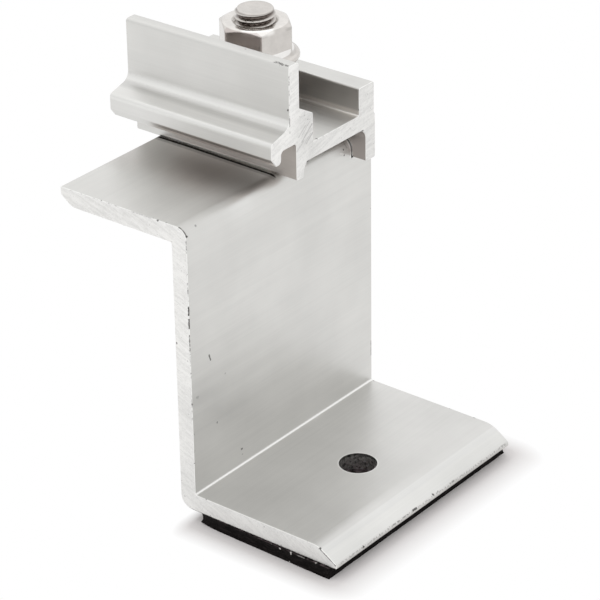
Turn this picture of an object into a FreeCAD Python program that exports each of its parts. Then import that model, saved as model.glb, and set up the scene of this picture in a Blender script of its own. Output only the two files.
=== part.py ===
import FreeCAD, Part
import math
import os

from FreeCAD import Vector

# Roof bracket that holds the lower rail of a solar module above a metal roof.
# A Z shaped length of aluminium extrusion stands on a rubber pad. An extruded
# clamp profile sits on its top flange, held by a hexagon bolt and a flange nut.
# Millimetres. +Z is up, +Y runs along the extrusion of the Z bracket, from the
# front cut to the back cut, and +X points from the web towards the roof screw.
# The origin is on the axis of the roof screw, on the underside of the pad.

# Z bracket
CUT_LENGTH = 56.0
BRACKET_HEIGHT = 60.0
WALL = 3.6
TOP_FLANGE_WIDTH = 30.8
BOTTOM_FLANGE_WIDTH = 37.5
OUTER_BEND_RADIUS = 2.6
INNER_BEND_RADIUS = 0.5
TOP_TIP_CHAMFER = 2.7
BOTTOM_TIP_CHAMFER = 3.9
TOP_TIP_LAND = 1.6
TOP_TIP_RADIUS = 0.9
TOP_TIP_BLEND = 2.5
BOTTOM_TIP_LAND = 0.9
BOTTOM_TIP_RADIUS = 0.8
BOTTOM_TIP_BLEND = 6.0
TIP_EDGE_RADIUS = 0.25
SCREW_HOLE_DIAMETER = 7.5
SCREW_FROM_WEB = 17.7
EDGE_BREAK = 0.12

# Rubber pad
PAD_THICKNESS = 2.4
PAD_FROM_WEB = 0.7
PAD_FROM_TIP = 1.35
PAD_PAST_CUTS = 0.55
PAD_SIDE_HOLLOW = 0.4

# Hexagon bolt, M8 x 30, fully threaded, with the thread left as a plain shank
BOLT_DIAMETER = 7.9
BOLT_LENGTH = 30.0
BOLT_POINT_WIDTH = 1.25
BOLT_POINT_HEIGHT = 0.7
BOLT_OFF_MIDDLE = 0.5
BOLT_FROM_BACK = 15.55
HEAD_FLATS = 13.0
HEAD_HEIGHT = 5.3
HEAD_WASHER_DIAMETER = 11.6
HEAD_WASHER_HEIGHT = 0.4
HEAD_TURN = 30.0
BOLT_HOLE_CLEARANCE = 0.55

# Flange nut for the bolt
NUT_FLATS = 12.8
NUT_HEIGHT = 7.7
NUT_FLANGE_DIAMETER = 17.0
NUT_RIM_THICKNESS = 1.2
NUT_CONE_HEIGHT = 2.5
NUT_BORE_CLEARANCE = 0.05
NUT_COUNTERSINK = 0.5
NUT_TURN = 19.2
THREAD_SHOWING = 2.4
HEX_CHAMFER_ANGLE = 30.0
HEX_CHAMFER_LAND = 0.35

# Clamp profile, heights counted from the top of the Z bracket's top flange
CLAMP_LENGTH = 39.8
CLAMP_HOLE_FROM_END = 19.4
CHANNEL_WIDTH = 14.2
FLOOR_UNDERSIDE = 2.9
FLOOR_THICKNESS = 3.45
FLOOR_CORNER_RADIUS = 0.4
BOSS_WIDTH = 4.1
BOSS_LOW_HEIGHT = 12.2
BOSS_HIGH_HEIGHT = 14.5
TALL_LEG_THICKNESS = 3.0
TALL_LEG_HEIGHT = 23.9
TALL_LEG_EDGE_RADIUS = 0.7
REAR_LEG_THICKNESS = 4.7
REAR_LEG_HEIGHT = 12.05
REAR_STEP = 0.35
REAR_STEP_HEIGHT = 5.2
HOOK_THICKNESS = 2.95
HOOK_DROP = 4.0
FOOT_THICKNESS = 2.15
FOOT_FROM_BOSS = 3.0
LEG_ROOT_RADIUS = 2.0
LEG_END_RADIUS = 0.45
LIP_REACH = 5.5
LIP_SLOPE = 1.5
LIP_NECK_HEIGHT = 11.6
LIP_BOTTOM_HEIGHT = 5.2
LIP_THICKNESS = 2.9
LIP_SHOULDER_RADIUS = 0.8
LIP_BEVEL_WIDTH = 1.35
LIP_BEVEL_HEIGHT = 1.75
LIP_BEVEL_RADIUS = 0.5
LIP_TIP_BACK_RADIUS = 0.9
NECK_RADIUS = 2.2
GROOVE_HEIGHT = 7.7
GROOVE_RADIUS = 0.8

# Clearance between the clamp's hook and the step sawn into the Z bracket
HOOK_SIDE_CLEARANCE = 0.2
HOOK_END_CLEARANCE = 0.2

# Share of an outline's edge that the arcs at its two ends may take up
ARC_ROOM = 0.98

# Places of the Z bracket
WEB_FACE_X = -SCREW_FROM_WEB
WEB_BACK_X = WEB_FACE_X - WALL
TOP_TIP_X = WEB_FACE_X - TOP_FLANGE_WIDTH
BOTTOM_TIP_X = WEB_BACK_X + BOTTOM_FLANGE_WIDTH
FRONT_Y = -CUT_LENGTH / 2
BACK_Y = CUT_LENGTH / 2
BASE_Z = PAD_THICKNESS
TOP_Z = BASE_Z + BRACKET_HEIGHT
UNDER_TOP_Z = TOP_Z - WALL

# Places of the bolt and the nut
BOLT_X = WEB_FACE_X - TOP_FLANGE_WIDTH / 2 - BOLT_OFF_MIDDLE
BOLT_Y = BACK_Y - BOLT_FROM_BACK
BOLT_END_Z = UNDER_TOP_Z + BOLT_LENGTH
NUT_TOP_Z = BOLT_END_Z - THREAD_SHOWING
NUT_BASE_Z = NUT_TOP_Z - NUT_HEIGHT
BOLT_HOLE_RADIUS = BOLT_DIAMETER / 2 + BOLT_HOLE_CLEARANCE

# Places across the clamp profile, from its lip at the front to its rear leg
CHANNEL_FRONT_Y = BOLT_Y - CHANNEL_WIDTH / 2
CHANNEL_BACK_Y = BOLT_Y + CHANNEL_WIDTH / 2
TALL_BACK_Y = CHANNEL_FRONT_Y - BOSS_WIDTH
TALL_FRONT_Y = TALL_BACK_Y - TALL_LEG_THICKNESS
FOOT_BACK_Y = CHANNEL_FRONT_Y - FOOT_FROM_BOSS
FOOT_FRONT_Y = FOOT_BACK_Y - FOOT_THICKNESS
LIP_FRONT_Y = TALL_FRONT_Y - LIP_REACH
REAR_UPPER_Y = CHANNEL_BACK_Y + REAR_LEG_THICKNESS
REAR_LOWER_Y = REAR_UPPER_Y + REAR_STEP
HOOK_FRONT_Y = REAR_LOWER_Y - HOOK_THICKNESS
FLOOR_TOP = FLOOR_UNDERSIDE + FLOOR_THICKNESS
CLAMP_NEAR_X = BOLT_X + CLAMP_HOLE_FROM_END
CLAMP_FAR_X = CLAMP_NEAR_X - CLAMP_LENGTH

# Places of the step that the hook hangs in
STEP_Y = HOOK_FRONT_Y - HOOK_SIDE_CLEARANCE
STEP_Z = TOP_Z - HOOK_DROP - HOOK_END_CLEARANCE


def fitted_reaches(points, radii):
    """Return how far each corner's arc reaches along the edges beside it.

    Two arcs too large for the edge between them are made smaller alike.
    """
    count = len(points)
    full = []
    for index, point in enumerate(points):
        following = points[(index + 1) % count]
        half_angle = (points[index - 1] - point).getAngle(following - point) / 2
        full.append(radii[index] / math.tan(half_angle))
    shares = []
    for index, point in enumerate(points):
        ahead = (index + 1) % count
        room = ARC_ROOM * (points[ahead] - point).Length
        shares.append(room / max(room, full[index] + full[ahead]))
    return [reach * min(shares[index - 1], shares[index]) for index, reach in enumerate(full)]


def corner_arc(before, corner, after, reach):
    """Return the start, middle and end of the arc that rounds one corner."""
    back = (before - corner).normalize()
    ahead = (after - corner).normalize()
    half_angle = back.getAngle(ahead) / 2
    radius = reach * math.tan(half_angle)
    bisector = (back + ahead).normalize()
    middle = corner + bisector * (radius / math.sin(half_angle) - radius)
    return corner + back * reach, middle, corner + ahead * reach


def rounded_face(corners):
    """Return the flat face of a closed outline given as (point, radius)."""
    points = [point for point, radius in corners]
    radii = [radius for point, radius in corners]
    arcs = []
    for index, reach in enumerate(fitted_reaches(points, radii)):
        following = points[(index + 1) % len(points)]
        arcs.append(corner_arc(points[index - 1], points[index], following, reach))
    edges = []
    for index, (start, middle, end) in enumerate(arcs):
        if radii[index] > 0:
            edges.append(Part.Arc(start, middle, end).toShape())
        following = arcs[(index + 1) % len(arcs)][0]
        edges.append(Part.LineSegment(end, following).toShape())
    return Part.Face(Part.Wire(edges))


def broken_ends(solid, axis, places):
    """Break the sharp edges round the two cut ends of an extruded length."""
    cut_edges = []
    for edge in solid.Edges:
        middle = edge.CenterOfMass
        along = getattr(middle, axis)
        flat = edge.BoundBox.XLength if axis == "x" else edge.BoundBox.YLength
        if flat < 1e-6 and min(abs(along - place) for place in places) < 1e-6:
            cut_edges.append(edge)
    return solid.makeChamfer(EDGE_BREAK, cut_edges)


def upright_cylinder(radius, x, y, low, high):
    """Return a vertical cylinder between two heights."""
    return Part.makeCylinder(radius, high - low, Vector(x, y, low), Vector(0, 0, 1))


def z_outline():
    """Outline of the Z bracket at the front cut, with its bends and tips."""
    places = [
        (TOP_TIP_X, TOP_Z, TIP_EDGE_RADIUS),
        (TOP_TIP_X, TOP_Z - TOP_TIP_LAND, TOP_TIP_RADIUS),
        (TOP_TIP_X + TOP_TIP_CHAMFER, UNDER_TOP_Z, TOP_TIP_BLEND),
        (WEB_BACK_X, UNDER_TOP_Z, INNER_BEND_RADIUS),
        (WEB_BACK_X, BASE_Z, OUTER_BEND_RADIUS),
        (BOTTOM_TIP_X, BASE_Z, TIP_EDGE_RADIUS),
        (BOTTOM_TIP_X, BASE_Z + BOTTOM_TIP_LAND, BOTTOM_TIP_RADIUS),
        (BOTTOM_TIP_X - BOTTOM_TIP_CHAMFER, BASE_Z + WALL, BOTTOM_TIP_BLEND),
        (WEB_FACE_X, BASE_Z + WALL, INNER_BEND_RADIUS),
        (WEB_FACE_X, TOP_Z, OUTER_BEND_RADIUS),
    ]
    return [(Vector(x, FRONT_Y, z), radius) for x, z, radius in places]


def make_z_bracket():
    """Z bracket: extruded outline, two drilled holes and the sawn step."""
    length = rounded_face(z_outline()).extrude(Vector(0, CUT_LENGTH, 0))
    length = broken_ends(length, "y", (FRONT_Y, BACK_Y))
    screw_hole = upright_cylinder(
        SCREW_HOLE_DIAMETER / 2, 0, 0, BASE_Z - WALL, BASE_Z + 2 * WALL
    )
    bolt_hole = upright_cylinder(
        BOLT_HOLE_RADIUS, BOLT_X, BOLT_Y, UNDER_TOP_Z - WALL, TOP_Z + WALL
    )
    margin = WALL
    step = Part.makeBox(
        TOP_FLANGE_WIDTH + 2 * margin,
        BACK_Y - STEP_Y + margin,
        TOP_Z - STEP_Z + margin,
        Vector(TOP_TIP_X - margin, STEP_Y, STEP_Z),
    )
    return length.cut([screw_hole, bolt_hole, step])


def make_rubber_pad():
    """Pad bonded under the bottom flange, a little past the two cuts.

    Its long sides, cut with a knife, are slightly hollow.
    """
    left = WEB_FACE_X + PAD_FROM_WEB
    right = BOTTOM_TIP_X - PAD_FROM_TIP
    front = FRONT_Y - PAD_PAST_CUTS
    middle_z = PAD_THICKNESS / 2
    low_left = Vector(left, front, 0)
    high_left = Vector(left, front, PAD_THICKNESS)
    low_right = Vector(right, front, 0)
    high_right = Vector(right, front, PAD_THICKNESS)
    left_waist = Vector(left + PAD_SIDE_HOLLOW, front, middle_z)
    right_waist = Vector(right - PAD_SIDE_HOLLOW, front, middle_z)
    edges = [
        Part.LineSegment(low_left, low_right).toShape(),
        Part.Arc(low_right, right_waist, high_right).toShape(),
        Part.LineSegment(high_right, high_left).toShape(),
        Part.Arc(high_left, left_waist, low_left).toShape(),
    ]
    pad_length = CUT_LENGTH + 2 * PAD_PAST_CUTS
    return Part.Face(Part.Wire(edges)).extrude(Vector(0, pad_length, 0))


def clamp_outline():
    """Outline of the clamp profile, clockwise from the tall leg's front edge."""
    lip_back = LIP_FRONT_Y + LIP_THICKNESS
    places = [
        (TALL_FRONT_Y, TALL_LEG_HEIGHT, TALL_LEG_EDGE_RADIUS),
        (TALL_BACK_Y, TALL_LEG_HEIGHT, TALL_LEG_EDGE_RADIUS),
        (TALL_BACK_Y, BOSS_HIGH_HEIGHT, FLOOR_CORNER_RADIUS),
        (CHANNEL_FRONT_Y, BOSS_LOW_HEIGHT, FLOOR_CORNER_RADIUS),
        (CHANNEL_FRONT_Y, FLOOR_TOP, 0),
        (CHANNEL_BACK_Y, FLOOR_TOP, FLOOR_CORNER_RADIUS),
        (CHANNEL_BACK_Y, REAR_LEG_HEIGHT, LEG_END_RADIUS),
        (REAR_UPPER_Y, REAR_LEG_HEIGHT, LEG_END_RADIUS),
        (REAR_UPPER_Y, REAR_STEP_HEIGHT + REAR_STEP, REAR_STEP),
        (REAR_LOWER_Y, REAR_STEP_HEIGHT, REAR_STEP),
        (REAR_LOWER_Y, -HOOK_DROP, LEG_END_RADIUS),
        (HOOK_FRONT_Y, -HOOK_DROP, LEG_END_RADIUS),
        (HOOK_FRONT_Y, FLOOR_UNDERSIDE, LEG_ROOT_RADIUS),
        (FOOT_BACK_Y, FLOOR_UNDERSIDE, LEG_ROOT_RADIUS),
        (FOOT_BACK_Y, 0, LEG_END_RADIUS),
        (FOOT_FRONT_Y, 0, LEG_END_RADIUS),
        (FOOT_FRONT_Y, GROOVE_HEIGHT, GROOVE_RADIUS),
        (lip_back, GROOVE_HEIGHT, GROOVE_RADIUS),
        (lip_back, LIP_BOTTOM_HEIGHT, LIP_TIP_BACK_RADIUS),
        (LIP_FRONT_Y + LIP_BEVEL_WIDTH, LIP_BOTTOM_HEIGHT, LIP_BEVEL_RADIUS),
        (LIP_FRONT_Y, LIP_BOTTOM_HEIGHT + LIP_BEVEL_HEIGHT, LIP_BEVEL_RADIUS),
        (LIP_FRONT_Y, LIP_NECK_HEIGHT - LIP_SLOPE, LIP_SHOULDER_RADIUS),
        (TALL_FRONT_Y, LIP_NECK_HEIGHT, NECK_RADIUS),
    ]
    return [(Vector(CLAMP_FAR_X, y, TOP_Z + z), radius) for y, z, radius in places]


def make_clamp_profile():
    """Clamp profile: extruded outline with the bolt hole through its floor."""
    length = rounded_face(clamp_outline()).extrude(Vector(CLAMP_LENGTH, 0, 0))
    length = broken_ends(length, "x", (CLAMP_NEAR_X, CLAMP_FAR_X))
    bolt_hole = upright_cylinder(
        BOLT_HOLE_RADIUS,
        BOLT_X,
        BOLT_Y,
        TOP_Z + FLOOR_UNDERSIDE - FLOOR_THICKNESS,
        TOP_Z + FLOOR_TOP + FLOOR_THICKNESS,
    )
    return length.cut(bolt_hole)


def hexagon(flats, base_z, height, turn):
    """Return a hexagonal prism on the bolt's axis, turned about it."""
    corner_radius = flats / math.sqrt(3)
    corners = []
    for index in range(6):
        angle = math.radians(turn + 60 * index)
        x = BOLT_X + corner_radius * math.cos(angle)
        y = BOLT_Y + corner_radius * math.sin(angle)
        corners.append((Vector(x, y, base_z), 0))
    return rounded_face(corners).extrude(Vector(0, 0, height))


def turned(profile):
    """Revolve (radius, height) places about the bolt's axis into a solid."""
    points = [Vector(BOLT_X + radius, BOLT_Y, z) for radius, z in profile]
    points.append(points[0])
    face = Part.Face(Part.makePolygon(points))
    return face.revolve(Vector(BOLT_X, BOLT_Y, 0), Vector(0, 0, 1), 360)


def chamfering_cone(flats, end_z, inner_z):
    """Return the turned blank whose cone cuts the corners of a hexagon."""
    outer = flats
    land = flats / 2 - HEX_CHAMFER_LAND
    drop = (outer - land) * math.tan(math.radians(HEX_CHAMFER_ANGLE))
    inward = 1 if inner_z > end_z else -1
    return turned([(0, end_z), (land, end_z), (outer, end_z + inward * drop),
                   (outer, inner_z + inward * drop), (0, inner_z + inward * drop)])


def make_clamp_bolt():
    """Hexagon bolt from below: head, washer face, shank and chamfered point."""
    head_base = UNDER_TOP_Z - HEAD_HEIGHT
    washer_z = UNDER_TOP_Z - HEAD_WASHER_HEIGHT
    head = hexagon(HEAD_FLATS, head_base, washer_z - head_base, HEAD_TURN)
    head = head.common(chamfering_cone(HEAD_FLATS, head_base, washer_z))
    radius = BOLT_DIAMETER / 2
    shank = turned([
        (0, washer_z),
        (HEAD_WASHER_DIAMETER / 2, washer_z),
        (HEAD_WASHER_DIAMETER / 2, UNDER_TOP_Z),
        (radius, UNDER_TOP_Z),
        (radius, BOLT_END_Z - BOLT_POINT_HEIGHT),
        (radius - BOLT_POINT_WIDTH, BOLT_END_Z),
        (0, BOLT_END_Z),
    ])
    return head.fuse(shank)


def nut_flange():
    """Round flange of the nut: flat bearing face, rounded rim and low cone."""
    rim_radius = NUT_RIM_THICKNESS / 2
    outer = NUT_FLANGE_DIAMETER / 2
    rim_z = NUT_BASE_Z + rim_radius
    rim_top = NUT_BASE_Z + NUT_RIM_THICKNESS
    centre = outer - rim_radius
    axis_base = Vector(BOLT_X, BOLT_Y, NUT_BASE_Z)
    axis_top = Vector(BOLT_X, BOLT_Y, NUT_BASE_Z + NUT_CONE_HEIGHT)
    bearing_edge = Vector(BOLT_X + centre, BOLT_Y, NUT_BASE_Z)
    rim_middle = Vector(BOLT_X + outer, BOLT_Y, rim_z)
    rim_end = Vector(BOLT_X + centre, BOLT_Y, rim_top)
    cone_top = Vector(BOLT_X + NUT_FLATS / 2, BOLT_Y, NUT_BASE_Z + NUT_CONE_HEIGHT)
    edges = [
        Part.LineSegment(axis_base, bearing_edge).toShape(),
        Part.Arc(bearing_edge, rim_middle, rim_end).toShape(),
        Part.LineSegment(rim_end, cone_top).toShape(),
        Part.LineSegment(cone_top, axis_top).toShape(),
        Part.LineSegment(axis_top, axis_base).toShape(),
    ]
    face = Part.Face(Part.Wire(edges))
    return face.revolve(Vector(BOLT_X, BOLT_Y, 0), Vector(0, 0, 1), 360)


def make_flange_nut():
    """Flange nut, run down the bolt until THREAD_SHOWING of it stands out."""
    body = hexagon(NUT_FLATS, NUT_BASE_Z, NUT_HEIGHT, NUT_TURN)
    body = body.common(chamfering_cone(NUT_FLATS, NUT_TOP_Z, NUT_BASE_Z))
    bore = BOLT_DIAMETER / 2 + NUT_BORE_CLEARANCE
    wide = bore + NUT_COUNTERSINK
    hole = turned([
        (0, NUT_BASE_Z),
        (wide, NUT_BASE_Z),
        (bore, NUT_BASE_Z + NUT_COUNTERSINK),
        (bore, NUT_TOP_Z - NUT_COUNTERSINK),
        (wide, NUT_TOP_Z),
        (0, NUT_TOP_Z),
    ])
    return body.fuse(nut_flange()).cut(hole)


def main():
    """Build every piece and write one file for each."""
    pieces = {
        "z_bracket": make_z_bracket(),
        "rubber_pad": make_rubber_pad(),
        "clamp_profile": make_clamp_profile(),
        "clamp_bolt": make_clamp_bolt(),
        "flange_nut": make_flange_nut(),
    }
    os.makedirs("parts", exist_ok=True)
    for node, shape in pieces.items():
        shape.exportStep("parts/" + node + ".step")
        print(node, shape.isValid(), len(shape.Solids), round(shape.Volume, 1))


main()
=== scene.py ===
"""Metal roof solar bracket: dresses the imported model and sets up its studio.

The frame's own solids of the Z bracket and of the clamp profile stay and get
their finishes. The bolt, the nut and the rubber pad are replaced by pieces
with real threads, broken edges and hollow cut sides. Metres, in the frame's
own axes: +Z up from the roof, +Y along the Z bracket, +X towards the screw.
"""

import logging
import math
from collections.abc import Iterable
from dataclasses import dataclass, field
from enum import Enum
from itertools import product

import bmesh
import bpy
from mathutils import Matrix, Vector, noise


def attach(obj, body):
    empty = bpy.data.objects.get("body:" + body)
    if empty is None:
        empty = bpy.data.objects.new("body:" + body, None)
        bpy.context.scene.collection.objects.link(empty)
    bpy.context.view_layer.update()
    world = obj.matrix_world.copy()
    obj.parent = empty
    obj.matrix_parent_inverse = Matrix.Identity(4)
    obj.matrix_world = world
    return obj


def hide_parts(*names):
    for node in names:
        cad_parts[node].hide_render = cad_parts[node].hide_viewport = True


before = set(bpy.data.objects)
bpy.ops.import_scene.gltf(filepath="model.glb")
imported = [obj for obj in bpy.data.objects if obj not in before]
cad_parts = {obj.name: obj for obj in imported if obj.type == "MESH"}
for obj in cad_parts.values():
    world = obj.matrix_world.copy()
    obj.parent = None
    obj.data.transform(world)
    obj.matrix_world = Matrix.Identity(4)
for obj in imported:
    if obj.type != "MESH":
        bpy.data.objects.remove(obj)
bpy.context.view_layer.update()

LOG = logging.getLogger("roof_bracket")

MM = 0.001
FULL_TURN = 2.0 * math.pi
CHAMFER_SLOPE = math.tan(math.radians(30.0))
SEAM_MM = 1e-4
WELD_MM = 2e-3
BOLT_AXIS = (-33.6, 12.45)
WHITE = (1.0, 1.0, 1.0, 1.0)

Socket = bpy.types.NodeSocket
Feed = Socket | float | tuple
Place = tuple[float, float, float]
Tone = tuple[float, float, float]
Steps = tuple[tuple[float, float], ...]


class Axis(Enum):
    """Direction that an extrusion runs in."""

    X = 0
    Y = 1


class Side(Enum):
    """Which side of a thread's surface is metal."""

    BOLT = 1.0
    NUT = -1.0


@dataclass(frozen=True)
class Mark:
    """A dot, scratch or streak along a short straight line; some stand for painted highlights and
    painted shadow lines.

    Attributes:
        start: one end, in millimetres.
        end: the other end, or nothing for a dot.
        width: its width.
        strength: how fully it covers what lies under it.
        beat: length of its dashes, or 0 where it is unbroken.
        ragged: how uneven its rim is.
    """

    start: Place
    end: Place | None = None
    width: float = 0.45
    strength: float = 1.0
    beat: float = 0.0
    ragged: float = 1.0


@dataclass(frozen=True)
class Zone:
    """Part of a piece, as a box with soft sides, that is duller or brighter; most hold painted
    shade and painted light.

    Attributes:
        low: its lower corner, in millimetres.
        high: its upper corner.
        tint: what the colour is multiplied by there.
        soft: width of its fading sides.
        fade: width of its fading ends along X, where that is more.
        sawn: whether it lies on the sawn faces instead of the drawn ones.
    """

    low: Place
    high: Place
    tint: Tone
    soft: float = 0.3
    fade: float = 0.0
    sawn: bool = False


class NodeGraph:
    """Short calls for adding and joining nodes in one tree."""

    def __init__(self, tree: bpy.types.NodeTree) -> None:
        """Start on an emptied tree.

        Args:
            tree: the shader or geometry tree to fill.
        """
        self.tree = tree
        tree.nodes.clear()

    def add(self, kind: str, **settings: object) -> bpy.types.Node:
        """Add a node.

        Args:
            kind: the node's type name.
            settings: properties to set on it.

        Returns:
            The new node.
        """
        node = self.tree.nodes.new(kind)
        for name, value in settings.items():
            setattr(node, name, value)
        return node

    def feed(self, socket: Socket, value: Feed) -> None:
        """Link a socket into an input, or write a constant on it.

        Args:
            socket: the input.
            value: an output to link, or the constant.
        """
        if isinstance(value, bpy.types.NodeSocket):
            self.tree.links.new(value, socket)
        else:
            socket.default_value = value

    def maths(self, operation: str, first: Feed, second: Feed = 0.0, third: Feed = 0.0,
              clamp: bool = False) -> Socket:
        """Add one arithmetic node.

        Args:
            operation: what it does.
            first: its first number.
            second: its second number, where it takes one.
            third: its third number, where it takes one.
            clamp: whether the result is held between 0 and 1.

        Returns:
            The result.
        """
        node = self.add("ShaderNodeMath", operation=operation, use_clamp=clamp)
        for socket, value in zip(node.inputs, (first, second, third)):
            self.feed(socket, value)
        return node.outputs[0]

    def times(self, first: Feed, second: Feed) -> Socket:
        """Multiply two numbers."""
        return self.maths("MULTIPLY", first, second)

    def scaled(self, first: Feed, factor: Feed, added: Feed) -> Socket:
        """Multiply two numbers and add a third."""
        return self.maths("MULTIPLY_ADD", first, factor, added)

    def minus(self, first: Feed, second: Feed) -> Socket:
        """Take the second number from the first."""
        return self.maths("SUBTRACT", first, second)

    def most(self, first: Feed, second: Feed) -> Socket:
        """Return the larger of two numbers."""
        return self.maths("MAXIMUM", first, second)

    def hypot(self, first: Feed, second: Feed) -> Socket:
        """Return the length of a flat vector."""
        return self.maths("SQRT", self.scaled(first, first, self.times(second, second)))

    def split(self, vector: Socket) -> tuple[Socket, Socket, Socket]:
        """Take a vector apart.

        Args:
            vector: the vector.

        Returns:
            Its three parts.
        """
        node = self.add("ShaderNodeSeparateXYZ")
        self.feed(node.inputs[0], vector)
        return node.outputs[0], node.outputs[1], node.outputs[2]

    def joined(self, x: Feed, y: Feed, z: Feed) -> Socket:
        """Make a vector.

        Args:
            x: its first part.
            y: its second part.
            z: its third part.

        Returns:
            The vector.
        """
        node = self.add("ShaderNodeCombineXYZ")
        for socket, value in zip(node.inputs, (x, y, z)):
            self.feed(socket, value)
        return node.outputs[0]

    def spread(self, value: Feed, low: float, high: float, to_low: float = 0.0,
               to_high: float = 1.0, smooth: bool = False) -> Socket:
        """Map a value from one range to another, held at both ends.

        Args:
            value: what is mapped.
            low: value that gives to_low.
            high: value that gives to_high.
            to_low: result at low.
            to_high: result at high.
            smooth: ease in and out instead of a straight line.

        Returns:
            The mapped value.
        """
        node = self.add("ShaderNodeMapRange", clamp=True)
        node.interpolation_type = "SMOOTHSTEP" if smooth else "LINEAR"
        for socket, number in zip(node.inputs, (value, low, high, to_low, to_high)):
            self.feed(socket, number)
        return node.outputs[0]


class Finish(NodeGraph):
    """A metal or rubber finish: one material with patterns in millimetres."""

    def __init__(self, name: str) -> None:
        """Make the material with its surface shader and place in millimetres.

        Args:
            name: the material's name.
        """
        self.material = bpy.data.materials.new(name)
        self.material.use_nodes = True
        super().__init__(self.material.node_tree)
        output = self.add("ShaderNodeOutputMaterial")
        self.surface = self.add("ShaderNodeBsdfPrincipled")
        self.feed(output.inputs["Surface"], self.surface.outputs[0])
        place = self.add("ShaderNodeTexCoord").outputs["Object"]
        self.place = self.vector("MULTIPLY", place, (1.0 / MM,) * 3)["Vector"]
        self.wobble = self.cloud(self.place, 2.4, 2.0)

    def set(self, name: str, value: Feed) -> None:
        """Feed one input of the surface shader."""
        self.feed(self.surface.inputs[name], value)

    def cloud(self, vector: Socket, scale: float, detail: float = 3.0,
              roughness: float = 0.5) -> Socket:
        """Add soft noise.

        Args:
            vector: the place it is looked up at.
            scale: lumps per millimetre.
            detail: how many finer layers it has.
            roughness: how strong the finer layers are.

        Returns:
            The noise, from 0 to 1.
        """
        node = self.add("ShaderNodeTexNoise")
        values = {"Vector": vector, "Scale": scale, "Detail": detail, "Roughness": roughness}
        for label, value in values.items():
            self.feed(node.inputs[label], value)
        return node.outputs["Fac"]

    def blend(self, factor: Feed, first: Feed, second: Feed) -> Socket:
        """Mix two colours.

        Args:
            factor: share of the second.
            first: a colour or the output of one.
            second: the same.

        Returns:
            The mixed colour.
        """
        node = self.add("ShaderNodeMix", data_type="RGBA")
        self.feed(node.inputs["Factor"], factor)
        for socket, tone in zip(node.inputs[6:8], (first, second)):
            self.feed(socket, tone if isinstance(tone, Socket) else (*tone, 1.0))
        return node.outputs[2]

    def tinted(self, tone: Socket, tint: Socket | Tone) -> Socket:
        """Return a colour multiplied by a tint or by a brightness."""
        return self.vector("MULTIPLY", tone, tint)["Vector"]

    def inside(self, zone: Zone, place: Socket | None = None) -> Socket:
        """Return a zone's mask, 1 inside and 0 outside.

        Args:
            zone: the box.
            place: where it is looked up, or nothing for the place in millimetres.

        Returns:
            The mask.
        """
        mask: Socket | float = 1.0
        sides = (max(zone.soft, zone.fade), zone.soft, zone.soft)
        parts = self.split(place or self.place)
        for part, low, high, soft in zip(parts, zone.low, zone.high, sides):
            rise = self.spread(part, low - soft / 2, low + soft / 2)
            fall = self.spread(part, high - soft / 2, high + soft / 2, 1.0, 0.0)
            mask = self.times(mask, self.times(rise, fall))
        return mask

    def zoned(self, tone: Socket, zones: Iterable[Zone], place: Socket | None = None) -> Socket:
        """Tint a colour inside each zone in turn.

        Args:
            tone: the colour.
            zones: the boxes.
            place: where they are looked up, or nothing for the place in millimetres.

        Returns:
            The tinted colour.
        """
        for zone in zones:
            tone = self.blend(self.inside(zone, place), tone, self.tinted(tone, zone.tint))
        return tone

    def relief(self, height: Socket, depth_mm: float) -> None:
        """Bump the surface by a height pattern.

        Args:
            height: the pattern, around 0 to 1.
            depth_mm: depth of the bumps, in millimetres.
        """
        node = self.add("ShaderNodeBump")
        node.inputs["Strength"].default_value = 1.0
        node.inputs["Distance"].default_value = depth_mm * MM
        self.feed(node.inputs["Height"], height)
        self.set("Normal", node.outputs[0])

    def vector(self, operation: str, first: Feed,
               second: Feed = (0.0, 0.0, 0.0)) -> bpy.types.NodeOutputs:
        """Add one vector node.

        Args:
            operation: what it does.
            first: its first vector.
            second: its second vector, where it takes one.

        Returns:
            The node's outputs.
        """
        node = self.add("ShaderNodeVectorMath", operation=operation)
        self.feed(node.inputs[0], first)
        self.feed(node.inputs[1], second)
        return node.outputs

    def stroke(self, mark: Mark) -> Socket:
        """Return a mark's mask, full on its line and 0 beside it.

        Args:
            mark: where it runs and how wide it is.

        Returns:
            The mask, with a ragged rim.
        """
        offset = self.vector("SUBTRACT", self.place, mark.start)["Vector"]
        if mark.end is not None:
            run = Vector(mark.end) - Vector(mark.start)
            share = self.vector("DOT_PRODUCT", offset, tuple(run / run.length_squared))["Value"]
            share = self.maths("ADD", share, 0.0, clamp=True)
            foot = self.joined(*(self.times(share, part) for part in run))
            away = self.vector("DISTANCE", offset, foot)["Value"]
        else:
            away = self.vector("LENGTH", offset)["Value"]
        uneven = self.scaled(self.wobble, mark.width * mark.ragged, away)
        middle = mark.width * 0.5 * mark.ragged
        core, rim = middle + mark.width * 0.25, middle + mark.width * 0.55
        mask = self.spread(uneven, core, rim, mark.strength, 0.0)
        if mark.beat > 0.0:
            dashes = self.cloud(self.place, 1.0 / mark.beat, 1.0)
            mask = self.times(mask, self.spread(dashes, 0.46, 0.56))
        return mask

    def strokes(self, marks: tuple[Mark, ...]) -> Socket | float:
        """Draw several marks.

        Args:
            marks: the marks.

        Returns:
            Their masks as one, or 0 where there is no mark.
        """
        mask: Socket | float = 0.0
        for mark in marks:
            mask = self.most(mask, self.stroke(mark))
        return mask


def shades(tone: Tone, low: float, high: float) -> tuple[Tone, Tone]:
    """Return a colour made darker and made lighter, and no lighter than white."""
    return tuple(tuple(min(1.0, part * factor) for part in tone) for factor in (low, high))


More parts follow.
